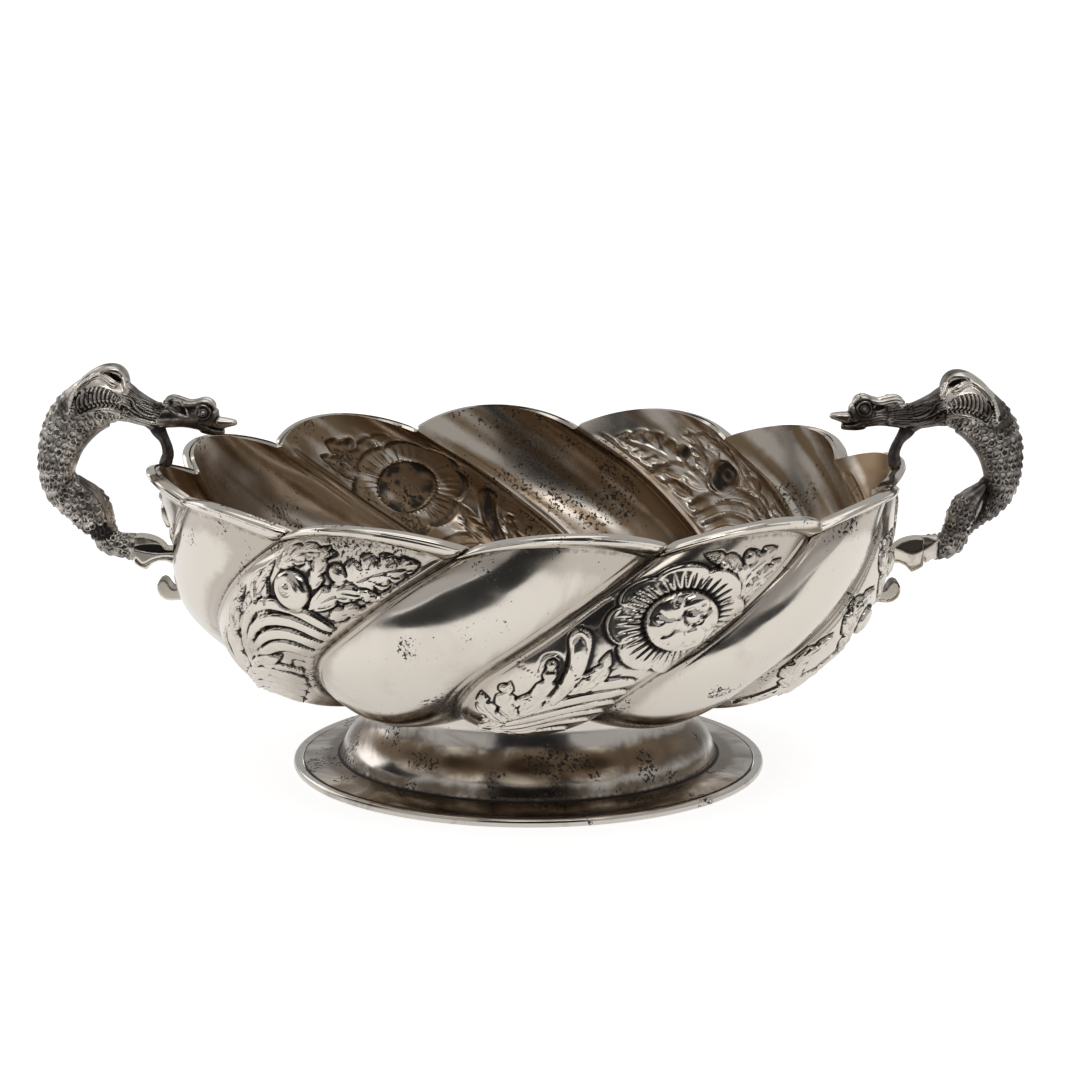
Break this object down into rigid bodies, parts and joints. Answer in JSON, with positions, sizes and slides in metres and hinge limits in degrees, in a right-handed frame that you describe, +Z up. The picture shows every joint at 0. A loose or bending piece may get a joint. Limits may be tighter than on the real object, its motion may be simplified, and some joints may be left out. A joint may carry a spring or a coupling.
{
  "type": "silver two-handled bowl",
  "caption": "Shallow silver bowl with spiral lobes, partly chased, on a round spun foot, with a wired lip and a pair of cast dragon handles.",
  "frame": {"origin": "on the table, under the centre of the foot", "axes": "+Z up, the handles at +X and -X"},
  "size_m": [0.2728, 0.2106, 0.1124],
  "materials": {
    "silver": "polished silver with dark spots and oxide in the recesses",
    "foot_silver": "polished silver, rubbed and speckled",
    "cast_silver": "cast silver, oxidised dark between bright worn edges"
  },
  "bodies": {
    "root": {"bowl": "silver", "rim_wire_01": "silver", "rim_wire_02": "silver", "rim_wire_03": "silver", "rim_wire_04": "silver", "rim_wire_05": "silver", "rim_wire_06": "silver", "rim_wire_07": "silver", "rim_wire_08": "silver", "rim_wire_09": "silver", "rim_wire_10": "silver", "rim_wire_11": "silver", "rim_wire_12": "silver", "foot": "foot_silver", "foot_wire": "foot_silver", "right_dragon": "cast_silver", "right_strut": "cast_silver", "right_bracket": "cast_silver", "left_dragon": "cast_silver", "left_strut": "cast_silver", "left_bracket": "cast_silver"}
  },
  "joints": []
}
